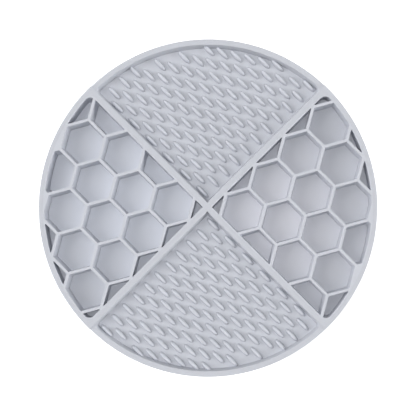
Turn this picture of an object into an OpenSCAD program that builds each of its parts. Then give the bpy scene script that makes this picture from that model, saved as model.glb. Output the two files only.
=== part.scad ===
// Round silicone lick mat for a dog or cat. Two crossed dividers make four
// sectors: deep honeycomb pockets left and right, shallower trays with slanted
// ridges at the back and front. The mat looks the same after a half turn.
// Origin: middle of the mat, on the plane that the suction cups stand on. +Z is up.

/* [Mat] */
// Diameter over the rim
mat_d = 200; // [170:5:240]
// Thickness of the floor sheet
sheet_t = 2; // [1.5:0.1:3]
// Height of the dividers and honeycomb walls above the floor sheet
wall_h = 8.5; // [7:0.5:12]
// Rounding of the mat's outer edges
edge_r = 0.8; // [0.3:0.1:1.2]

/* [Rim and dividers] */
// Width of the rim
rim_w = 3.3; // [2.5:0.1:5]
// Width of the crossed dividers
divider_w = 3.8; // [2.5:0.1:6]
// How far the rim of the two trays lies below the dividers
rim_step = 1.2; // [0.5:0.1:2]

/* [Honeycomb] */
// Distance between the centres of neighbouring cells
cell_pitch = 24.3; // [18:0.1:30]
// Thickness of the walls between cells
cell_wall = 1.65; // [1.2:0.05:2.4]
// Turn of the rows of cells, in degrees
cell_turn = -15; // [-30:1:30]
// Distance of the first cell from the crossing, outwards along its sector
first_cell_out = 20.9; // [17:0.1:25]
// Distance of the first cell from the middle line of its sector
first_cell_aside = -2.4; // [-5:0.1:5]
// Radius of the pocket corners between a divider and the rim
pocket_corner_r = 4; // [2:0.5:6]
// Shortest reach into its sector at which a cell is opened as a pocket
least_reach = 3; // [2:0.5:5]

/* [Trays] */
// Depth of the trays below their own rim
tray_depth = 4.2; // [3:0.1:5]
// Radius of the tray corners between a divider and the rim
tray_corner_r = 2.8; // [1.5:0.1:6]

/* [Ridges] */
// Length of one ridge at its foot
ridge_l = 10.2; // [6:0.1:12]
// Width of one ridge at its foot
ridge_w = 3.5; // [2:0.1:4]
// Height of one ridge above the floor of its tray
ridge_h = 2.4; // [1:0.1:2.9]
// Spacing of the ridges along their length
ridge_step_l = 14.4; // [12:0.1:20]
// Spacing of the ridges across their width
ridge_step_w = 8.93; // [7:0.01:14]
// Shift of the pattern along the ridges, from the crossing
ridge_shift_l = 1.8; // [-4:0.1:4]
// Shift of the pattern across the ridges, from the crossing
ridge_shift_w = 0.3; // [-4:0.1:4]
// Least space between a ridge and a divider
ridge_gap = 0.5; // [0.3:0.1:2]
// Most that a ridge's tip is drawn in where it meets the rim
ridge_draw_in = 1.8; // [0:0.05:2.5]
// Space between a ridge and the rim
ridge_tip_gap = 0.1; // [0.05:0.05:0.5]

/* [Suction cups] */
// Diameter of a cup over its lip
cup_d = 24; // [16:0.5:30]
// Height of a cup below the floor sheet
cup_h = 3; // [2:0.1:5]
// Diameter of the neck that joins a cup to the floor sheet
cup_neck_d = 13; // [8:0.5:15]
// Depth of the hollow under a cup
cup_dish = 1.7; // [1:0.1:1.9]
// Width of the flat lip that a cup stands on
cup_lip_w = 1; // [0.6:0.1:2]
// Thickness of the skirt at the lip
cup_skirt_t = 0.7; // [0.5:0.1:1.2]
// Distance between the rings of cups
cup_ring_step = 40; // [34:0.5:48]

/* [Hidden] */
$fn = 96;
silicone = [0.80, 0.81, 0.84];
silicone_deep = [0.74, 0.75, 0.79];
// Run of cutting shapes past the faces they cut
over = 1;
// Run of a corner's circle past the two faces it joins, so that it crosses them cleanly
corner_lap = 0.02;

mat_r = mat_d / 2;
rim_in = mat_r - rim_w;
sheet_z = cup_h;
floor_z = sheet_z + sheet_t;
tray_rim_h = wall_h - rim_step;
tray_floor_h = tray_rim_h - tray_depth;

// Turns that bring a sector to each side, and half the angle of a honeycomb sector and of a
// tray
right = 0;
back = 90;
left = 180;
front = 270;
sector_half = 45;
tray_half = back - sector_half;
half_divider = divider_w / 2;

// Honeycomb lattice: angle between a cell's corners, its corner radius and the two steps
// between cells
sixth = 60;
cell_r = (cell_pitch - cell_wall) / sqrt(3);
cell_step_a = cell_pitch * [cos(cell_turn), sin(cell_turn)];
cell_step_b = cell_pitch * [cos(cell_turn + sixth), sin(cell_turn + sixth)];
// The first cell keeps its distance from both dividers if its sector opens wider or less
even_half = back / 2;
first_cell = [
    first_cell_out * sin(even_half) / sin(sector_half),
    first_cell_aside * cos(even_half) / cos(sector_half)
];
cell_rows = ceil(2 * mat_r / cell_pitch);

// Ridge: shares of its foot's length and width and of its height, level by level from foot
// to crest, and the power that fills its oval outline out, where 1 is an ellipse
ridge_l_shares = [1, 0.94, 0.72];
ridge_w_shares = [1, 0.82, 0.2];
ridge_h_shares = [0, 0.6, 1];
ridge_sides = 10;
oval_power = 0.87;

// Ridge pattern: every second place of a grid of half steps, along and across the ridges
ridge_rows_l = ceil(2 * mat_r / ridge_step_l);
ridge_rows_w = ceil(2 * mat_r / ridge_step_w);

// Suction cups: dome radius of the hollow, number of rings round the middle cup, and cups
// in the first of them
cup_hollow_r = cup_d / 2 - cup_lip_w;
cup_dome_r = (cup_hollow_r * cup_hollow_r + cup_dish * cup_dish) / (2 * cup_dish);
cup_rings = floor((rim_in - cup_d / 2) / cup_ring_step);
first_ring_cups = 6;

// How far a cell reaches from its centre in the direction of an angle
function cell_reach(angle) =
    let (turned = angle - cell_turn + sixth / 2, past_corner = turned - sixth * floor(turned / sixth))
    cell_r * cos(sixth / 2 - abs(past_corner - sixth / 2));

// A cell is opened where it reaches far enough inside the rim and both dividers
function is_pocket(c) =
    rim_in - norm(c) + cell_reach(atan2(-c[1], -c[0])) > least_reach
    && c * [sin(sector_half), -cos(sector_half)] - half_divider + cell_reach(-tray_half) > least_reach
    && c * [sin(sector_half), cos(sector_half)] - half_divider + cell_reach(tray_half) > least_reach;

pockets = [
    for (i = [-cell_rows : cell_rows], j = [-cell_rows : cell_rows])
        let (c = first_cell + i * cell_step_a + j * cell_step_b)
        if (is_pocket(c)) c
];

// Whether a place in a tray, along and across the ridges from the crossing, keeps its ridge
// clear of the divider at its tips, of the divider beside it and of the rim
function ridge_fits(p) =
    p * [sin(2 * tray_half), -cos(2 * tray_half)]
        > half_divider + ridge_l / 2 * sin(2 * tray_half) + ridge_w / 2 * abs(cos(2 * tray_half)) + ridge_gap
    && p[1] > half_divider + ridge_w / 2 + ridge_gap
    && norm([p[0] + ridge_l / 2, p[1]]) < rim_in + ridge_draw_in
    && norm(p) + ridge_w / 2 < rim_in;

ridge_places = [
    for (i = [-ridge_rows_l : 2 * ridge_rows_l], j = [-ridge_rows_w : 2 * ridge_rows_w])
        let (p = [ridge_shift_l + i * ridge_step_l / 2, ridge_shift_w + j * ridge_step_w / 2])
        if ((i + j) % 2 == 0 && ridge_fits(p)) p
];

// Sector between the divider faces, opening along +X by half an angle to each side
module sector_2d(half) {
    apex = half_divider / sin(half);
    polygon([[apex, 0], [apex + mat_r, mat_r * tan(half)], [apex + mat_r, -mat_r * tan(half)]]);
}

// Centre of the rounding between a divider face and the rim, along and across the divider
function corner_centre(r) =
    let (across = half_divider + r - corner_lap)
    [sqrt(pow(rim_in - r + corner_lap, 2) - pow(across, 2)), across];

// Shapes that round both outer corners of a sector, up to the divider faces or past them
module corner_fills_2d(half, r, past_face) {
    c = corner_centre(r);
    face = half_divider - past_face;
    past_rim = rim_in + rim_w / 2;
    for (side = [0, 1])
        mirror([0, side])
            rotate(-half)
                difference() {
                    polygon([c, [c[0], face], [past_rim, face], c * past_rim / norm(c)]);
                    translate(c)
                        circle(r = r);
                }
}

// Profile of a ring or disc whose outer edge is rounded, at the top or at the bottom
module edge_profile_2d(inner, h, round_top) {
    corner_z = round_top ? h - edge_r : 0;
    round_z = round_top ? h - edge_r : edge_r;
    difference() {
        translate([inner, 0])
            square([mat_r - inner, h]);
        translate([mat_r - edge_r, corner_z])
            square([edge_r, edge_r]);
    }
    intersection() {
        translate([mat_r - edge_r, round_z])
            circle(r = edge_r);
        translate([mat_r - edge_r, corner_z])
            square([edge_r, edge_r]);
    }
}

// Rim of one sector, with its rounded inner corners
module rim_arc(turn, half, h, corner_r) {
    translate([0, 0, floor_z])
        rotate(turn) {
            intersection() {
                rotate_extrude()
                    edge_profile_2d(rim_in, h, true);
                linear_extrude(height = h)
                    sector_2d(half);
            }
            linear_extrude(height = h)
                intersection() {
                    corner_fills_2d(half, corner_r, 0);
                    circle(r = rim_in + rim_w / 2);
                }
        }
}

// Block that fills one sector inside the rim, up to its rounded corners
module sector_block(half, h, corner_r) {
    linear_extrude(height = h)
        difference() {
            intersection() {
                circle(r = rim_in);
                sector_2d(half);
            }
            corner_fills_2d(half, corner_r, over);
        }
}

module honeycomb(turn) {
    translate([0, 0, floor_z])
        rotate(turn)
            difference() {
                sector_block(sector_half, wall_h, pocket_corner_r);
                for (c = pockets)
                    translate([c[0], c[1], -over])
                        rotate(cell_turn + sixth / 2)
                            cylinder(r = cell_r, h = wall_h + 2 * over, $fn = 6);
            }
}

module tray_floor(turn) {
    translate([0, 0, floor_z])
        rotate(turn)
            sector_block(tray_half, tray_floor_h, tray_corner_r);
}

// Point of a ridge's foot at an angle round its middle
function ridge_foot(angle) = [
    ridge_l / 2 * sign(cos(angle)) * pow(abs(cos(angle)), oval_power),
    ridge_w / 2 * sign(sin(angle)) * pow(abs(sin(angle)), oval_power)
];

// Share of the way d from a ridge's middle that stays clear of the rim, up to the whole way
function ridge_room(middle, d) =
    let (ahead = middle * d, left_over = pow(rim_in - ridge_tip_gap, 2) - middle * middle)
    min(1, (sqrt(ahead * ahead + d * d * left_over) - ahead) / (d * d));

// Points of one ridge: its oval foot, and the levels above that draw in to the crest
function ridge_points(p) =
    let (middle = [p[0], -p[1]])
    [
        for (level = [0 : len(ridge_h_shares) - 1], k = [0 : ridge_sides - 1])
            let (foot = ridge_foot(360 * k / ridge_sides), reach = ridge_room(middle, foot) * foot)
            [
                middle[0] + ridge_l_shares[level] * reach[0],
                middle[1] + ridge_w_shares[level] * reach[1],
                ridge_h_shares[level] * ridge_h
            ]
    ];

// Faces of one ridge, whose points start at the given number: its underside, its sides and
// its crest
function ridge_faces(start) =
    let (m = ridge_sides, crest = start + (len(ridge_h_shares) - 1) * m)
    [
        [for (k = [0 : m - 1]) start + k],
        for (level = [0 : len(ridge_h_shares) - 2], k = [0 : m - 1])
            let (a = start + level * m + k, b = start + level * m + (k + 1) % m)
            each [[a, a + m, b + m], [a, b + m, b]],
        [for (k = [0 : m - 1]) crest + m - 1 - k]
    ];

// All ridges of one tray, standing on its floor
module ridges(turn) {
    point_count = len(ridge_h_shares) * ridge_sides;
    translate([0, 0, floor_z + tray_floor_h])
        rotate(turn + tray_half)
            polyhedron(
                points = [for (p = ridge_places) each ridge_points(p)],
                faces = [for (i = [0 : len(ridge_places) - 1]) each ridge_faces(i * point_count)]
            );
}

module suction_cup() {
    rotate_extrude()
        difference() {
            polygon([
                [0, 0], [cup_d / 2, 0], [cup_d / 2, cup_skirt_t],
                [cup_neck_d / 2, cup_h], [0, cup_h]
            ]);
            translate([0, cup_dish - cup_dome_r])
                circle(r = cup_dome_r);
        }
}

module base_sheet() {
    color(silicone_deep)
        translate([0, 0, sheet_z])
            rotate_extrude()
                edge_profile_2d(0, sheet_t, false);
}

module suction_cups() {
    color(silicone_deep) {
        suction_cup();
        for (ring = [1 : cup_rings], k = [1 : first_ring_cups * ring])
            rotate(360 * k / (first_ring_cups * ring))
                translate([ring * cup_ring_step, 0])
                    suction_cup();
    }
}

module divider_cross() {
    color(silicone)
        intersection() {
            translate([0, 0, floor_z])
                rotate_extrude()
                    edge_profile_2d(0, wall_h, true);
            translate([0, 0, floor_z])
                linear_extrude(height = wall_h)
                    for (arm = [-sector_half, sector_half])
                        rotate(arm)
                            square([2 * mat_r + over, divider_w], center = true);
        }
}

module rim_left() {
    color(silicone)
        rim_arc(left, sector_half, wall_h, pocket_corner_r);
}

module rim_right() {
    color(silicone)
        rim_arc(right, sector_half, wall_h, pocket_corner_r);
}

module rim_back() {
    color(silicone)
        rim_arc(back, tray_half, tray_rim_h, tray_corner_r);
}

module rim_front() {
    color(silicone)
        rim_arc(front, tray_half, tray_rim_h, tray_corner_r);
}

module honeycomb_left() {
    color(silicone)
        honeycomb(left);
}

module honeycomb_right() {
    color(silicone)
        honeycomb(right);
}

module tray_floor_back() {
    color(silicone_deep)
        tray_floor(back);
}

module tray_floor_front() {
    color(silicone_deep)
        tray_floor(front);
}

module ridges_back() {
    color(silicone)
        ridges(back);
}

module ridges_front() {
    color(silicone)
        ridges(front);
}

base_sheet();
suction_cups();
divider_cross();
rim_left();
rim_right();
rim_back();
rim_front();
honeycomb_left();
honeycomb_right();
tray_floor_back();
tray_floor_front();
ridges_back();
ridges_front();
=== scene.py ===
import math
import bmesh
import bpy
import numpy as np
from mathutils import Matrix, Vector, geometry


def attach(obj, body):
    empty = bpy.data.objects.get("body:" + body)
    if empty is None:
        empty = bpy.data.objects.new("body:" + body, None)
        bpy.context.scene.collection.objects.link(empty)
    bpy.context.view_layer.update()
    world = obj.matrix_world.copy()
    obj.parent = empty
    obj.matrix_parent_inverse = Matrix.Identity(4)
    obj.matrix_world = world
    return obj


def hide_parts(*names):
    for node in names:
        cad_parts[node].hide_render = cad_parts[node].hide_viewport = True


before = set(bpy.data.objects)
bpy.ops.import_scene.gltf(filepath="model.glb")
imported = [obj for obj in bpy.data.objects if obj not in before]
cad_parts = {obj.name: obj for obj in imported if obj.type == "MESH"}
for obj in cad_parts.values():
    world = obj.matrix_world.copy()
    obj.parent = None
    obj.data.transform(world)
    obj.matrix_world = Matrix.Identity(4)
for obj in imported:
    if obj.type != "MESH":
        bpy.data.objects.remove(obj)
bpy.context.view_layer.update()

scene = bpy.context.scene
mm = 0.001

# Sizes that several pieces share. A sector is worked out as it opens along +X, between
# dividers at plus and minus 45 degrees, and is then turned to its place.
mat = {
    "radius": 100 * mm,
    "rimIn": 96.7 * mm,
    "halfDivider": 1.9 * mm,
    "underside": 3 * mm,
    "sheetTop": 5 * mm,
    "tallTop": 13.5 * mm,
    "trayRimTop": 12.3 * mm,
    "trayFloorTop": 8.1 * mm,
    "outerRounding": 0.5 * mm,
    "edgeRounding": 0.18 * mm,
    "seamInset": 0.75 * mm,  # how far inside the rim and dividers the honeycomb piece reaches
    "strip": 0.05 * mm,  # flat strip beside a profile, before the flat face begins
    "besideRounding": 0.1 * mm,  # a ring this close keeps the shading of a rounding in place
    "square": 300 * mm,  # half the width of the square that areas are cut from
    "leastEdge": 0.001 * mm,  # shorter edges of an area are left out
    "joinDistance": 0.002 * mm,  # points closer than this are joined
    "arcStep": 0.75,  # degrees between points of the large arcs
    "rimSpan": 48,  # degrees to either side of a sector's middle that its rim lines reach
    "cornerLines": 16,  # lines round an outer corner
    "roundingSteps": 8,
    "rimPoints": 121,  # points of a rim's outer arc
    "armPoints": 9,  # points of the arc that ends a divider
}
turns = {"right": 0, "back": 90, "left": 180, "front": 270}


# A unit vector for each angle in radians.
def unit(angles):
    return np.stack([np.cos(angles), np.sin(angles)], axis=-1)


# The points turned about the origin by an angle in degrees.
def turned(points, angle):
    c, s = math.cos(math.radians(angle)), math.sin(math.radians(angle))
    return points @ np.array([[c, s], [-s, c]])


# Corners of the area where normal . point <= limit holds for every line: a large square is
# cut by one line after another, and each cut puts a corner where an edge crosses the line.
def cutArea(normals, limits):
    corners = mat["square"] * np.array([[-1.0, -1], [1, -1], [1, 1], [-1, 1]])
    for normal, limit in zip(normals, limits):
        depth = corners @ normal - limit
        keep = depth <= 0
        if keep.all():
            continue
        after, afterDepth = np.roll(corners, -1, axis=0), np.roll(depth, -1)
        crossing = keep != np.roll(keep, -1)
        share = depth[crossing] / (depth[crossing] - afterDepth[crossing])
        cuts = corners[crossing] + share[:, None] * (after - corners)[crossing]
        order = np.concatenate([np.nonzero(keep)[0], np.nonzero(crossing)[0] + 0.5])
        corners = np.concatenate([corners[keep], cuts])[np.argsort(order)]
    gaps = np.linalg.norm(np.roll(corners, -1, axis=0) - corners, axis=1)
    return corners[gaps > mat["leastEdge"]]


# Outline of such an area with rounded corners: the area is drawn in by the radius, and each
# corner of it then gives an arc of that radius from one edge's normal to the next, with a
# point every few degrees, or one point where the corner hardly turns. A turn of more than
# half a circle is a straight edge's rounding error. Returns the points and their normals.
def roundedOutline(normals, limits, radius, step=12, leastTurn=3):
    corners = cutArea(normals, limits - radius)
    along = np.roll(corners, -1, axis=0) - corners
    facing = np.arctan2(-along[:, 0], along[:, 1])
    before = np.roll(facing, 1)
    turn = (facing - before) % (2 * math.pi)
    turn[turn > math.pi] = 0
    arcs = np.ceil(np.round(turn / math.radians(step), 6)).astype(int) + 1
    counts = np.where(turn < math.radians(leastTurn), 1, arcs)
    which = np.repeat(np.arange(len(corners)), counts)
    place = np.arange(len(which)) - np.repeat(np.cumsum(counts) - counts, counts)
    share = np.where(counts[which] == 1, 0.5, place / np.maximum(counts[which] - 1, 1))
    outward = unit(before[which] + share * turn[which])
    return corners[which] + radius * outward, outward


# Lines round a sector: its two divider faces, the rim as tangents to its circle, and the
# two outer corners as tangents to their own circles.
def sectorLines(cornerRadius):
    across = mat["halfDivider"] + cornerRadius
    along = math.sqrt((mat["rimIn"] - cornerRadius) ** 2 - across ** 2)
    faceAngles = np.radians([135.0, -135.0])
    rimAngles = np.radians(np.arange(-mat["rimSpan"], mat["rimSpan"] + 0.1, mat["arcStep"]))
    normals = [unit(faceAngles), unit(rimAngles)]
    limits = [np.full(2, -mat["halfDivider"]), np.full(len(rimAngles), mat["rimIn"])]
    for side in (1, -1):
        centre = turned(np.array([along, -side * across]), side * 45)
        towards = math.atan2(centre[1], centre[0])
        cornerNormals = unit(np.linspace(towards, side * math.radians(135), mat["cornerLines"]))
        normals.append(cornerNormals)
        limits.append(cornerNormals @ centre + cornerRadius)
    return np.concatenate(normals), np.concatenate(limits)


# A profile carried round a closed outline: each ring is the outline moved out by the
# profile's offset, at the profile's height.
def carried(points, outward, offsets, heights):
    plan = points[None] + np.asarray(offsets)[:, None, None] * outward[None]
    level = np.broadcast_to(np.asarray(heights)[:, None, None], plan.shape[:2] + (1,))
    return np.concatenate([plan, level], axis=2)


# Quarter of a circle from level to upright: share 0 to 1 gives (sideways, upwards).
def quarter(steps):
    angles = np.linspace(0, math.pi / 2, steps + 1)
    return 1 - np.cos(angles), np.sin(angles)


# The same plan points, all at one height.
def atHeight(plan, height):
    return np.concatenate([plan, np.full((len(plan), 1), height)], axis=1)


# Four-sided faces of a grid of rings, closed round each ring.
def ringFaces(rings, size):
    r, k = np.meshgrid(np.arange(rings - 1), np.arange(size), indexing="ij")
    nextK = (k + 1) % size
    low, high = r * size, (r + 1) * size
    return np.stack([low + k, low + nextK, high + nextK, high + k], -1).reshape(-1, 4)


# Flat face inside the first loop and outside the others, as triangles of their points.
def flatFace(loops):
    points = np.concatenate(loops)
    edges, start = [], 0
    for loop in loops:
        k = np.arange(len(loop))
        edges.append(np.stack([k, (k + 1) % len(loop)], 1) + start)
        start += len(loop)
    corners = [Vector(p) for p in (points / mm).tolist()]
    found = geometry.delaunay_2d_cdt(corners, np.concatenate(edges).tolist(), [], 0, 1e-5)
    plan = np.array([list(p) for p in found[0]]) * mm
    triangles = np.array([f for f in found[2] if len(f) == 3])
    middles = plan[triangles].mean(axis=1)
    inside = withinLoop(middles, loops[0])
    for loop in loops[1:]:
        inside &= ~withinLoop(middles, loop)
    return plan, triangles[inside]


# Even-odd test: a point is inside if a line from it to the right crosses the loop an odd
# number of times.
def withinLoop(points, loop):
    a, b = loop, np.roll(loop, -1, axis=0)
    x, y = points[:, :1], points[:, 1:]
    spans = (a[:, 1] > y) != (b[:, 1] > y)
    rise = np.where(b[:, 1] == a[:, 1], 1, b[:, 1] - a[:, 1])
    crossing = a[:, 0] + (y - a[:, 1]) / rise * (b[:, 0] - a[:, 0])
    return (spans & (crossing > x)).sum(axis=1) % 2 == 1


# Collects the grids and flat faces of one piece.
class Shell:
    def __init__(self):
        self.points, self.faces, self.count = [], [], 0

    def add(self, points, faces):
        self.points.append(points.reshape(-1, 3))
        self.faces.extend((np.asarray(faces) + self.count).tolist())
        self.count += len(self.points[-1])

    def addRings(self, rings):
        self.add(rings, ringFaces(rings.shape[0], rings.shape[1]))

    def addFlat(self, loops, height):
        plan, triangles = flatFace(loops)
        self.add(atHeight(plan, height), triangles)

    # Rings that enclose a solid, with a flat face inside the first and inside the last.
    def addSolid(self, rings):
        self.addRings(rings)
        for ring in (rings[0], rings[-1]):
            self.addFlat([ring[:, :2]], ring[0, 2])


# Makes the mesh: points that coincide are joined, and the faces of the closed shell are
# made to point outwards.
def makePiece(name, shell, material, nodes, angle=0, sharp=40):
    points = np.concatenate(shell.points)
    points[:, :2] = turned(points[:, :2], angle)
    mesh = bpy.data.meshes.new(name)
    mesh.from_pydata(points.tolist(), [], shell.faces)
    work = bmesh.new()
    work.from_mesh(mesh)
    bmesh.ops.remove_doubles(work, verts=work.verts, dist=mat["joinDistance"])
    bmesh.ops.recalc_face_normals(work, faces=work.faces)
    work.to_mesh(mesh)
    work.free()
    mesh.polygons.foreach_set("use_smooth", np.ones(len(mesh.polygons), bool))
    mesh.set_sharp_from_angle(angle=math.radians(sharp))
    mesh.materials.append(material)
    piece = bpy.data.objects.new(name, mesh)
    scene.collection.objects.link(piece)
    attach(piece, "root")
    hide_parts(*nodes)
    return piece


siliconeLook = {
    "colour": (0.605, 0.623, 0.676),
    "mottle": 0.025,  # share by which the colour drifts
    "mottleSize": 14 * mm,
    "mottleDetail": 3,
    "roughness": 0.62,
    "refraction": 1.41,
    "grainSize": 0.5 * mm,
    "grainDetail": 2,
    "grainHeight": 0.008 * mm,
    "scatter": 0.06,
    "scatterRadius": 1.2 * mm,
    "scatterReach": (1, 0.9, 0.85),  # red goes a little further than blue
}


# Noise in the object's own coordinates, with grains of that size.
def objectNoise(nodes, links, place, size, detail):
    noise = nodes.new("ShaderNodeTexNoise")
    noise.inputs["Scale"].default_value = 1 / size
    noise.inputs["Detail"].default_value = detail
    links.new(place, noise.inputs["Vector"])
    return noise.outputs["Fac"]


# A node for one colour over another, mixed or multiplied.
def colourMix(nodes, blend):
    mix = nodes.new("ShaderNodeMix")
    mix.data_type = "RGBA"
    mix.blend_type = blend
    return mix


# Painted shade and highlight: the colour times a share that depends on the height, so that
# the feet are darker and the crests paler. The shades are pairs of a height and the share
# there. Also returns how far up a place is from the first height to the last.
def addPaintedShadeByHeight(nodes, links, place, colour, heights, shares):
    parts = nodes.new("ShaderNodeSeparateXYZ")
    links.new(place, parts.inputs[0])
    level = nodes.new("ShaderNodeMapRange")
    level.inputs["From Min"].default_value = heights[0]
    level.inputs["From Max"].default_value = heights[-1]
    links.new(parts.outputs["Z"], level.inputs["Value"])
    paintedShadeRamp = nodes.new("ShaderNodeValToRGB")
    steps = paintedShadeRamp.color_ramp.elements
    while len(steps) < len(heights):
        steps.new(0.5)
    for step, height, share in zip(steps, heights, shares):
        step.position = (height - heights[0]) / (heights[-1] - heights[0])
        step.color = (share, share, share, 1)
    links.new(level.outputs["Result"], paintedShadeRamp.inputs["Fac"])
    paintedShadeMix = colourMix(nodes, "MULTIPLY")
    paintedShadeMix.inputs["Factor"].default_value = 1
    links.new(colour, paintedShadeMix.inputs["A"])
    links.new(paintedShadeRamp.outputs["Color"], paintedShadeMix.inputs["B"])
    return paintedShadeMix.outputs["Result"], level.outputs["Result"]


# Painted light: the colour times a paler tint round a place, a painted pool of light that
# fades out smoothly as far as it reaches. The level keeps it off everything below the last of
# the shades' heights.
def addPaintedLightPool(nodes, links, place, colour, level, centre, reach, tint):
    distance = nodes.new("ShaderNodeVectorMath")
    distance.operation = "DISTANCE"
    distance.inputs[1].default_value = centre
    links.new(place, distance.inputs[0])
    fade = nodes.new("ShaderNodeMapRange")
    fade.interpolation_type = "SMOOTHSTEP"
    fade.inputs["From Min"].default_value = reach
    fade.inputs["From Max"].default_value = 0
    links.new(distance.outputs["Value"], fade.inputs["Value"])
    links.new(level, fade.inputs["To Max"])
    paintedLightMix = colourMix(nodes, "MULTIPLY")
    paintedLightMix.inputs["B"].default_value = (*tint, 1)
    links.new(fade.outputs["Result"], paintedLightMix.inputs["Factor"])
    links.new(colour, paintedLightMix.inputs["A"])
    return paintedLightMix.outputs["Result"]


# Satin silicone: a slow drift of the colour and a fine moulded grain, both from noise, with
# painted shade at the feet and a painted highlight on the crests by the shades, and broad
# painted pools of light by the patches, which are each a place in plan, a reach and a tint.
def makeSilicone(name, look, paintedShades, paintedLightPools=()):
    material = bpy.data.materials.new(name)
    material.use_nodes = True
    nodes, links = material.node_tree.nodes, material.node_tree.links
    shader = nodes["Principled BSDF"]
    place = nodes.new("ShaderNodeTexCoord").outputs["Object"]
    heights, shares = np.array(paintedShades).T
    brightest = shares.max()
    brightColour = np.array(look["colour"]) * brightest
    drift = colourMix(nodes, "MIX")
    drift.inputs["A"].default_value = (*(brightColour * (1 - look["mottle"])), 1)
    drift.inputs["B"].default_value = (*(brightColour * (1 + look["mottle"])), 1)
    mottle = objectNoise(nodes, links, place, look["mottleSize"], look["mottleDetail"])
    links.new(mottle, drift.inputs["Factor"])
    colour = drift.outputs["Result"]
    colour, level = addPaintedShadeByHeight(nodes, links, place, colour, heights, shares / brightest)
    for centre, reach, tint in paintedLightPools:
        colour = addPaintedLightPool(nodes, links, place, colour, level, (*centre, heights[-1]), reach, tint)
    links.new(colour, shader.inputs["Base Color"])
    bump = nodes.new("ShaderNodeBump")
    bump.inputs["Distance"].default_value = look["grainHeight"]
    bump.inputs["Strength"].default_value = 1
    grain = objectNoise(nodes, links, place, look["grainSize"], look["grainDetail"])
    links.new(grain, bump.inputs["Height"])
    links.new(bump.outputs["Normal"], shader.inputs["Normal"])
    shader.inputs["Roughness"].default_value = look["roughness"]
    shader.inputs["IOR"].default_value = look["refraction"]
    shader.inputs["Subsurface Weight"].default_value = look["scatter"]
    shader.inputs["Subsurface Radius"].default_value = look["scatterReach"]
    shader.inputs["Subsurface Scale"].default_value = look["scatterRadius"]
    return material


# The photograph's feet are darker and its crests paler than even light leaves them, and its
# pocket floors are paler in the middle of a honeycomb and a little warm on the right.
silicone = makeSilicone("satinSilicone", siliconeLook, [(0, 1), (13.5 * mm, 1)])
# Painted shade at the foot of each pocket wall and a painted highlight along its top.
wallPaintedShadeSilicone = makeSilicone("wallPaintedShadeSilicone", siliconeLook, [
    (5 * mm, 0.82), (6 * mm, 0.92), (9 * mm, 1), (13 * mm, 1), (13.3 * mm, 1.05),
])
# Painted shade on the pocket floors, and two painted pools of light, the right one a little warm.
sheetPaintedShadeAndLightSilicone = makeSilicone("sheetPaintedShadeAndLightSilicone", siliconeLook, [(4.9 * mm, 1), (5 * mm, 0.905)], [
    ((-52 * mm, 8 * mm), 95 * mm, (1.25, 1.26, 1.27)),
    ((42 * mm, -6 * mm), 68 * mm, (1.245, 1.22, 1.21)),
])
# Painted shade along the foot and up the leaning walls of a tray.
trayPaintedShadeSilicone = makeSilicone("trayPaintedShadeSilicone", siliconeLook, [
    (8.1 * mm, 1), (8.13 * mm, 0.76), (8.7 * mm, 0.87), (12.1 * mm, 0.95),
])
# Painted shade at the feet of the ridges and a painted highlight on their crests.
ridgePaintedShadeSilicone = makeSilicone("ridgePaintedShadeSilicone", siliconeLook, [
    (8.1 * mm, 0.8), (9.1 * mm, 0.9), (9.9 * mm, 1.06), (10.6 * mm, 1.13),
])
print("materials made")


honeycomb = {
    "pitch": 24.3 * mm,  # between the middles of neighbouring cells
    "wall": 1.65 * mm,
    "turn": -15,  # degrees
    "firstCell": (20.9 * mm, -2.4 * mm),
    "leastReach": 3 * mm,  # a cell that reaches less far into the sector stays closed
    "outerCorner": 4 * mm,
    "cornerRounding": 0.3 * mm,  # upright corners of a pocket
    "draft": 0.7 * mm,  # how far the walls lean in from the top to the floor
    "footRounding": 0.1 * mm,
    "roundingSteps": 5,
    "mostDrawn": 0.15,  # most of its width that a narrow pocket loses to that, as a share
    "endShare": 0.03,  # rings this share of a wall from its ends keep the roundings crisp
    "rows": 9,  # rows of cells tried to either side of the first
}


# Centres of the cells that open as pockets: those that reach far enough inside the rim and
# both divider faces. A cell reaches as far as its corner furthest in that direction.
def pocketCentres():
    rows = np.arange(-honeycomb["rows"], honeycomb["rows"] + 1)
    i, j = [k.reshape(-1, 1) for k in np.meshgrid(rows, rows)]
    turn = math.radians(honeycomb["turn"])
    steps = honeycomb["pitch"] * unit(np.array([turn, turn + math.pi / 3]))
    centres = np.array(honeycomb["firstCell"]) + i * steps[0] + j * steps[1]
    cellRadius = (honeycomb["pitch"] - honeycomb["wall"]) / math.sqrt(3)
    corners = cellRadius * unit(turn + math.radians(30) + np.arange(6) * math.pi / 3)
    toMiddle = -centres / np.linalg.norm(centres, axis=1, keepdims=True)
    reach = mat["rimIn"] - np.linalg.norm(centres, axis=1) + (toMiddle @ corners.T).max(axis=1)
    opened = reach > honeycomb["leastReach"]
    for face in unit(np.radians([135.0, -135.0])):
        reach = -centres @ face - mat["halfDivider"] + (corners @ -face).max()
        opened &= reach > honeycomb["leastReach"]
    return centres[opened]


# The place inside the lines that is furthest from all of them, and how far it is from the
# nearest: the lines are drawn in by halves for as long as an area is left between them.
def innerMiddle(normals, limits, most, halvings=12):
    least, middle = 0, None
    for _ in range(halvings):
        inset = (least + most) / 2
        corners = cutArea(normals, limits - inset)
        if len(corners) > 2:
            least, middle = inset, corners.mean(axis=0)
        else:
            most = inset
    return middle, least


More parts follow.
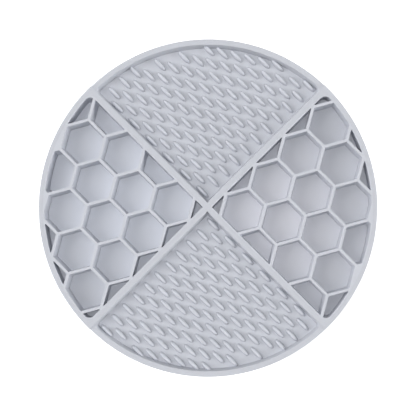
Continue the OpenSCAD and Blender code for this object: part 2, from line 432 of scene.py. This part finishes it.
# One sector of pockets: each pocket is a profile (foot, leaning wall, rounded top edge)
# carried round its outline, and a flat top and underside join them. A level that is drawn in
# is the outline made smaller towards the pocket's middle.
def makeHoneycomb(side):
    shell = Shell()
    normals, limits = sectorLines(honeycomb["outerCorner"])
    turn = math.radians(honeycomb["turn"])
    cellNormals = unit(turn + np.arange(6) * math.pi / 3)
    apothem = (honeycomb["pitch"] - honeycomb["wall"]) / 2
    foot, edge = honeycomb["footRounding"], mat["edgeRounding"]
    sideways, upwards = quarter(honeycomb["roundingSteps"])
    bottom, top = mat["sheetTop"], mat["tallTop"]
    ends = np.array([honeycomb["endShare"], 1 - honeycomb["endShare"]])
    draft = honeycomb["draft"]
    drawn = np.concatenate([draft + foot * (1 - upwards), draft * ends[::-1], 0 * sideways, [0]])
    offsets = np.concatenate([0 * upwards, 0 * ends, edge * sideways, [edge + mat["strip"]]])
    wall = top - edge - bottom - foot
    heights = np.concatenate([
        bottom + foot * sideways, bottom + foot + wall * ends,
        top - edge + edge * upwards, [top],
    ])
    topLoops, bottomLoops = [], []
    for centre in pocketCentres():
        allNormals = np.concatenate([cellNormals, normals])
        allLimits = np.concatenate([cellNormals @ centre + apothem, limits])
        points, outward = roundedOutline(allNormals, allLimits, honeycomb["cornerRounding"])
        middle, least = innerMiddle(allNormals, allLimits, 1.1 * apothem)
        kept = 1 - drawn / max(least, drawn[0] / honeycomb["mostDrawn"])
        rings = carried(points, outward, offsets, heights)
        rings[:, :, :2] += (kept - 1)[:, None, None] * (points - middle)
        shell.addRings(rings)
        bottomLoops.append(rings[0, :, :2])
        topLoops.append(rings[-1, :, :2])
    outside = cutArea(normals, limits + mat["seamInset"])
    shell.addRings(carried(outside, outside * 0, [0, 0], [bottom, top]))
    shell.addFlat([outside] + topLoops, top)
    shell.addFlat([outside] + bottomLoops, bottom)
    name = "honeycomb_" + side
    return makePiece(name + "_walls", shell, wallPaintedShadeSilicone, [name], turns[side])


for side in ("left", "right"):
    makeHoneycomb(side)
print("honeycomb sectors made")


# Radius and height of the outer edge of a rim, up its side and round its top edge.
def outerProfile(bottom, top):
    rounding = mat["outerRounding"]
    sideways, upwards = quarter(mat["roundingSteps"])
    radii = np.concatenate([[mat["radius"]] * 2, mat["radius"] - rounding * sideways])
    below = top - rounding
    heights = np.concatenate([[bottom, below - mat["besideRounding"]], below + rounding * upwards])
    return radii, heights


# How far a rounded top edge lies back at each height: none up to the edge, and then as on a
# quarter of a circle.
def edgeOffsets(heights, top):
    edge = mat["edgeRounding"]
    rise = np.clip((heights - (top - edge)) / edge, 0, 1)
    return edge * (1 - np.sqrt(1 - rise ** 2))


# A rim between two dividers. Each ring runs along the sector's outline, moved out where its
# top edge is rounded, and back along the outer circle at the profile's radius. Beside pockets,
# the honeycomb piece forms the inner edge, and the rim starts a little further out. Points
# that lie further in than the outer corners belong to the dividers and are left out.
def makeRim(side, top, cornerRadius, besidePockets):
    normals, limits = sectorLines(cornerRadius)
    radii, heights = outerProfile(mat["sheetTop"], top)
    if besidePockets:
        points = cutArea(normals, limits + mat["seamInset"])
        outward, offsets = points * 0, heights * 0
    else:
        points, outward = roundedOutline(normals, limits, cornerRadius / 2)
        offsets = edgeOffsets(heights, top)
    order = np.argsort(np.arctan2(points[:, 1], points[:, 0]))
    points, outward = points[order], outward[order]
    keep = np.linalg.norm(points, axis=1) > mat["rimIn"] - 1.6 * cornerRadius
    points, outward = points[keep], outward[keep]
    endLine = mat["halfDivider"] - mat["seamInset"]
    rings = []
    for radius, height, offset in zip(radii, heights, offsets):
        inner = points + offset * outward
        endAngle = math.pi / 4 - math.asin(endLine / radius)
        outer = radius * unit(np.linspace(endAngle, -endAngle, mat["rimPoints"]))
        ends = [endOn(inner[-1], endLine, 1), endOn(inner[0], endLine, -1)]
        rings.append(atHeight(np.concatenate([inner, [ends[0]], outer, [ends[1]]]), height))
    shell = Shell()
    shell.addSolid(np.array(rings))
    return makePiece("rim_" + side + "_band", shell, silicone, ["rim_" + side], turns[side])


# The point moved straight onto the line at that distance from a divider's middle.
def endOn(point, distance, side):
    along = unit(np.array(side * math.pi / 4))
    across = unit(np.array(-side * math.pi / 4))
    return (point @ along) * along + distance * across


for side in ("left", "right"):
    makeRim(side, mat["tallTop"], honeycomb["outerCorner"], True)
print("tall rims made")

tray = {
    "outerCorner": 2.8 * mm,
    "innerCorner": 1.6 * mm,
    "lean": 1.3 * mm,  # how far the walls lean in from the rim's top to the floor
    "footRounding": 0.2 * mm,
    "roundingSteps": 4,
    "brim": 0.02 * mm,  # how far the tops of the walls reach into the rim
    "endShare": 0.02,  # a ring this share of a wall from its top keeps its edge crisp
}
for side in ("back", "front"):
    makeRim(side, mat["trayRimTop"], tray["outerCorner"], False)
print("tray rims made")


# Ring of the cross at one height: each arm has a line on its pocket side and one on its
# tray side, neighbouring lines meet in the middle, and an arc of the outer circle ends it.
def crossRing(pocketLine, trayLine, radius, height):
    loop = []
    for k in range(4):
        angle = math.pi / 4 + k * math.pi / 2
        along, across = unit(np.array(angle)), unit(np.array(angle - math.pi / 2))
        clockwise, counter = (pocketLine, trayLine) if k % 2 == 0 else (trayLine, pocketLine)
        inner = clockwise * along + clockwise * across
        first, last = -math.asin(clockwise / radius), math.asin(counter / radius)
        bearings = np.linspace(first, last, mat["armPoints"])
        loop.append(inner[None])
        loop.append(radius * unit(angle + bearings))
    return atHeight(np.concatenate(loop), height)


# Both dividers as one cross: its rings follow the rim's outer profile at the arms' ends and
# a rounded top edge on the tray side. The honeycomb piece forms the edge on the pocket side.
def makeDividers():
    radii, heights = outerProfile(mat["sheetTop"], mat["tallTop"])
    trayLines = mat["halfDivider"] - edgeOffsets(heights, mat["tallTop"])
    pocketLine = mat["halfDivider"] - mat["seamInset"]
    rings = [crossRing(pocketLine, *values) for values in zip(trayLines, radii, heights)]
    shell = Shell()
    shell.addSolid(np.array(rings))
    return makePiece("divider_bars", shell, silicone, ["divider_cross"])


makeDividers()
print("dividers made")


# Floor of a tray: its outline up to just below the rim's top edge, then down a leaning wall
# and round a small foot to the flat floor.
def makeTrayFloor(side):
    normals, limits = sectorLines(tray["outerCorner"])
    points, outward = roundedOutline(normals, limits, tray["innerCorner"])
    foot, floor, lean = tray["footRounding"], mat["trayFloorTop"], tray["lean"]
    top = mat["trayRimTop"] - mat["edgeRounding"]
    end = tray["endShare"]
    sideways, upwards = quarter(tray["roundingSteps"])
    offsets = np.concatenate([
        [0, tray["brim"], -end * lean], foot - lean - foot * sideways, [-lean - mat["strip"]],
    ])
    heights = np.concatenate([
        [mat["sheetTop"], top, top - end * (top - floor)], floor + foot * (1 - upwards), [floor],
    ])
    shell = Shell()
    shell.addSolid(carried(points, outward, offsets, heights))
    name = "tray_" + side + "_floor"
    return makePiece(name, shell, trayPaintedShadeSilicone, ["tray_floor_" + side], turns[side])


ridge = {
    "length": 10.2 * mm,
    "width": 3.1 * mm,
    "height": 2.7 * mm,
    "stepAlong": 14.4 * mm,  # from one ridge to the next in its row
    "stepAcross": 8.93 * mm,  # from a row to the next but one
    "shift": (1.8 * mm, 0.3 * mm),  # of the grid from the crossing
    "settled": {"back": (0, -0.2 * mm), "front": (0.5 * mm, 0.03 * mm)},  # and of each field
    "gap": 0.5 * mm,  # least distance from a divider
    "drawIn": 1.8 * mm,  # most of a ridge's length that the rim may cut off
    "tipGap": 0.1 * mm,  # between a cut tip and the rim
    "roundness": 2.3,  # 2 is an ellipse in plan, more is fuller
    "rows": 30,  # half steps tried to either side of the crossing
    "segments": 12,
    "sharp": 70,  # degrees from which an edge stays sharp
    # from foot to crest: shares of the half length, half width and height
    "lengthShares": (1, 0.92, 0.83, 0.72, 0.56),
    "widthShares": (1, 0.84, 0.68, 0.48, 0.26),
    "heightShares": (0, 0.3, 0.6, 0.87, 1),
}


# Places of the ridges, as distances along and across them from the crossing: every second
# place of a grid of half steps that lies inside the tray.
def ridgePlaces():
    rows = np.arange(-ridge["rows"], ridge["rows"] + 1)
    i, j = [k.ravel() for k in np.meshgrid(rows, rows, indexing="ij")]
    even = (i + j) % 2 == 0
    along = ridge["shift"][0] + i[even] * ridge["stepAlong"] / 2
    across = ridge["shift"][1] + j[even] * ridge["stepAcross"] / 2
    half, halfWidth = ridge["length"] / 2, ridge["width"] / 2
    inside = along > mat["halfDivider"] + half + ridge["gap"]
    inside &= across > mat["halfDivider"] + halfWidth + ridge["gap"]
    inside &= np.hypot(along + half, across) < mat["rimIn"] + ridge["drawIn"]
    inside &= np.hypot(along, across) + halfWidth < mat["rimIn"]
    return along[inside], across[inside]


# Share of the way from the middles to points at those distances from them that stays clear
# of the rim: where the line from a middle crosses the rim's circle, and at most the whole way.
def roomInRim(middles, distances):
    ahead = (middles * distances).sum(axis=-1)
    leftOver = (mat["rimIn"] - ridge["tipGap"]) ** 2 - (middles ** 2).sum(axis=-1)
    lengths = (distances ** 2).sum(axis=-1)
    return np.minimum(1, (np.sqrt(ahead ** 2 + lengths * leftOver) - ahead) / lengths)


# Ridges of a tray. The foot of a ridge is an oval: over the angle v its half length goes
# with the cosine and its half width with the sine, both to a power that fills the oval out.
# The levels above it are the same oval, drawn in towards the crest.
def makeRidges(side):
    along, across = ridgePlaces()
    print(side, "ridges:", len(along))
    offAlong, offAcross = ridge["settled"][side]
    middles = np.stack([along + offAlong, -across - offAcross], axis=-1)[:, None, :]
    v = np.linspace(0, 2 * math.pi, ridge["segments"], endpoint=False)
    oval = np.sign(unit(v)) * np.abs(unit(v)) ** (2 / ridge["roundness"])
    foot = oval * np.array([ridge["length"], ridge["width"]]) / 2
    foot = foot * roomInRim(middles, foot)[..., None]
    shares = np.stack([ridge["lengthShares"], ridge["widthShares"]], axis=-1)
    plan = middles[:, None] + foot[:, None] * shares[None, :, None]
    heights = mat["trayFloorTop"] + ridge["height"] * np.array(ridge["heightShares"])
    x, y, z = np.broadcast_arrays(plan[..., 0], plan[..., 1], heights[None, :, None])
    levels, around = x.shape[1:]
    sides = ringFaces(levels, around)
    starts = np.arange(len(along)) * levels * around
    shell = Shell()
    faces = (sides[None] + starts[:, None, None]).reshape(-1, 4)
    shell.add(np.stack([x, y, z], axis=-1), faces)
    k = np.arange(around)
    for ends in (k[::-1], k + (levels - 1) * around):
        shell.faces.extend((ends[None] + starts[:, None]).tolist())
    name = "ridges_" + side
    turn = turns[side] + 45
    return makePiece(name + "_field", shell, ridgePaintedShadeSilicone, [name], turn, ridge["sharp"])


for side in ("back", "front"):
    makeTrayFloor(side)
    makeRidges(side)
print("trays made")


# Disc: rings of the outer circle up its side, rounded at the lower edge.
def makeSheet():
    rounding = mat["outerRounding"]
    sideways, upwards = quarter(mat["roundingSteps"])
    radii = np.concatenate([mat["radius"] - rounding + rounding * upwards, [mat["radius"]] * 2])
    above = mat["underside"] + rounding + mat["besideRounding"]
    heights = np.concatenate([mat["underside"] + rounding * sideways, [above, mat["sheetTop"]]])
    circle = unit(np.radians(np.arange(0, 360, mat["arcStep"])))
    shell = Shell()
    shell.addSolid(carried(circle * 0, circle, radii, heights))
    return makePiece("base_sheet_disc", shell, sheetPaintedShadeAndLightSilicone, ["base_sheet"])


makeSheet()

cup = {
    "lipRadius": 12 * mm,
    "lipWidth": 1 * mm,
    "lipRounding": 0.25 * mm,
    "skirt": 0.7 * mm,
    "neckRadius": 6.5 * mm,
    "flare": 1.8,  # power of the curve from the neck to the skirt, 1 is straight
    "hollow": 1.7 * mm,  # its height
    "ringStep": 40 * mm,  # from one circle of cups to the next
    "rings": 2,  # circles of cups, with 6 in the first and 12 in the second
    "levels": 8,
    "segments": 64,
    "sharp": 50,  # degrees from which an edge stays sharp
}


# Cups: a profile turned about each cup's own axis, from the middle of the hollow out over
# the lip and up the skirt to the neck. The hollow is an arc of a circle.
def makeCups():
    hollowRadius = cup["lipRadius"] - cup["lipWidth"]
    dome = (hollowRadius ** 2 + cup["hollow"] ** 2) / (2 * cup["hollow"])
    share = np.linspace(0, 1, cup["levels"] + 1)
    inner = share[1:] * hollowRadius
    arc = cup["hollow"] - dome + np.sqrt(dome ** 2 - inner ** 2)
    flare = cup["skirt"] + (mat["underside"] - cup["skirt"]) * share ** cup["flare"]
    slope = cup["lipRadius"] - (cup["lipRadius"] - cup["neckRadius"]) * share
    lip, rounding = cup["lipRadius"], cup["lipRounding"]
    radii = np.concatenate([inner, [lip - rounding, lip], slope])
    heights = np.concatenate([arc, [0, rounding], flare])
    circle = unit(np.linspace(0, 2 * math.pi, cup["segments"], endpoint=False))
    rings = carried(circle * 0, circle, radii, heights)
    k = np.arange(cup["segments"])
    fan = np.stack([0 * k, (k + 1) % cup["segments"] + 1, k + 1], axis=1)
    shell = Shell()
    places = [(0, 0)]
    for ring in range(1, cup["rings"] + 1):
        angles = np.arange(6 * ring) * math.pi / 3 / ring
        places.extend((ring * cup["ringStep"] * unit(angles)).tolist())
    for x, y in places:
        moved = rings + np.array([x, y, 0])
        shell.addRings(moved)
        shell.add(np.concatenate([[[x, y, cup["hollow"]]], moved[0]]), fan)
        shell.add(np.concatenate([[[x, y, mat["underside"]]], moved[-1]]), fan[:, ::-1])
    return makePiece("suction_cup_set", shell, silicone, ["suction_cups"], 0, cup["sharp"])


makeCups()
print("base sheet and suction cups made")


stage = {
    "size": 6,  # metres
    "floorColour": (0.82, 0.82, 0.82, 1),
    "glow": 0.55,  # brings the floor to white where it is seen
}


# 1 for rays from the camera and those that a reflection or glass passes on, otherwise 0.
def seenDirectly(nodes, links):
    path = nodes.new("ShaderNodeLightPath")
    seen = path.outputs["Is Camera Ray"]
    for ray in ("Is Glossy Ray", "Is Transmission Ray"):
        either = nodes.new("ShaderNodeMath")
        either.operation = "MAXIMUM"
        links.new(seen, either.inputs[0])
        links.new(path.outputs[ray], either.inputs[1])
        seen = either.outputs[0]
    return seen


# A level square with a matt paint, which keeps the mat's shadow, and a glow.
def makeFloor():
    mesh = bpy.data.meshes.new("studio_floor")
    corners = stage["size"] / 2 * np.array([[-1, -1, 0], [1, -1, 0], [1, 1, 0], [-1, 1, 0]])
    mesh.from_pydata(corners.tolist(), [], [(0, 1, 2, 3)])
    floor = bpy.data.objects.new("studio_floor", mesh)
    scene.collection.objects.link(floor)
    material = bpy.data.materials.new("paleFloor")
    material.use_nodes = True
    nodes, links = material.node_tree.nodes, material.node_tree.links
    nodes.remove(nodes["Principled BSDF"])
    paint = nodes.new("ShaderNodeBsdfDiffuse")
    paint.inputs["Color"].default_value = stage["floorColour"]
    glow = nodes.new("ShaderNodeEmission")
    power = nodes.new("ShaderNodeMath")
    power.operation = "MULTIPLY"
    power.inputs[1].default_value = stage["glow"]
    links.new(seenDirectly(nodes, links), power.inputs[0])
    links.new(power.outputs[0], glow.inputs["Strength"])
    both = nodes.new("ShaderNodeAddShader")
    links.new(paint.outputs[0], both.inputs[0])
    links.new(glow.outputs[0], both.inputs[1])
    links.new(both.outputs[0], nodes["Material Output"].inputs["Surface"])
    mesh.materials.append(material)


light = {
    "worldColour": (1, 1, 1, 1),
    "worldLevel": 0.15,
    "backgroundLevel": 1,  # where the world itself is seen
    # each lamp: azimuth and elevation it shines from and its width, in degrees, and its level
    "lamps": {
        "overhead": (0, 90, 12, 0.295),
        "leftLow": (180, 15, 30, 0.25),
        "leftHigh": (180, 38, 36, 0.3),
        "rightLow": (350, 14, 30, 0.56),
        "back": (112, 45, 50, 0.14),
        "front": (270, 25, 30, 0.05),
    },
}


# Soft lamps far away: at a level of 1 a lamp lights a surface that faces it as fully as a
# white sky would.
def makeLight():
    world = bpy.data.worlds.new("studio")
    scene.world = world
    world.use_nodes = True
    nodes, links = world.node_tree.nodes, world.node_tree.links
    background = nodes["Background"]
    background.inputs["Color"].default_value = light["worldColour"]
    strength = nodes.new("ShaderNodeMapRange")
    strength.inputs["To Min"].default_value = light["worldLevel"]
    strength.inputs["To Max"].default_value = light["backgroundLevel"]
    links.new(seenDirectly(nodes, links), strength.inputs["Value"])
    links.new(strength.outputs["Result"], background.inputs["Strength"])
    for name, (azimuth, elevation, width, level) in light["lamps"].items():
        data = bpy.data.lights.new(name, "SUN")
        data.energy = math.pi * level
        data.angle = math.radians(width)
        lamp = bpy.data.objects.new(name, data)
        lamp.rotation_euler = (0, math.radians(90 - elevation), math.radians(azimuth))
        scene.collection.objects.link(lamp)


camera = {
    "place": (23.4 * mm, -36.3 * mm, 513.5 * mm),
    "aim": (12.7 * mm, -22.7 * mm, 13.5 * mm),
    "lens": 73.53,
    "sensor": 36,
    "shift": (-0.05, 0.09),
    "clipEnd": 20,  # metres
}


# The camera looks from its place at its aim, with the mat's Y upright in the picture.
def makeCamera():
    data = bpy.data.cameras.new("camera")
    data.lens = camera["lens"]
    data.sensor_width = camera["sensor"]
    data.sensor_fit = "HORIZONTAL"
    data.shift_x, data.shift_y = camera["shift"]
    data.clip_end = camera["clipEnd"]
    eye = bpy.data.objects.new("camera", data)
    place, aim = Vector(camera["place"]), Vector(camera["aim"])
    back = (place - aim).normalized()
    side = Vector((0, 1, 0)).cross(back).normalized()
    turn = Matrix((side, back.cross(side), back)).transposed()
    eye.matrix_world = Matrix.Translation(place) @ turn.to_4x4()
    scene.collection.objects.link(eye)
    scene.camera = eye


makeFloor()
makeLight()
makeCamera()
scene.view_settings.view_transform = "Standard"
print("stage made")
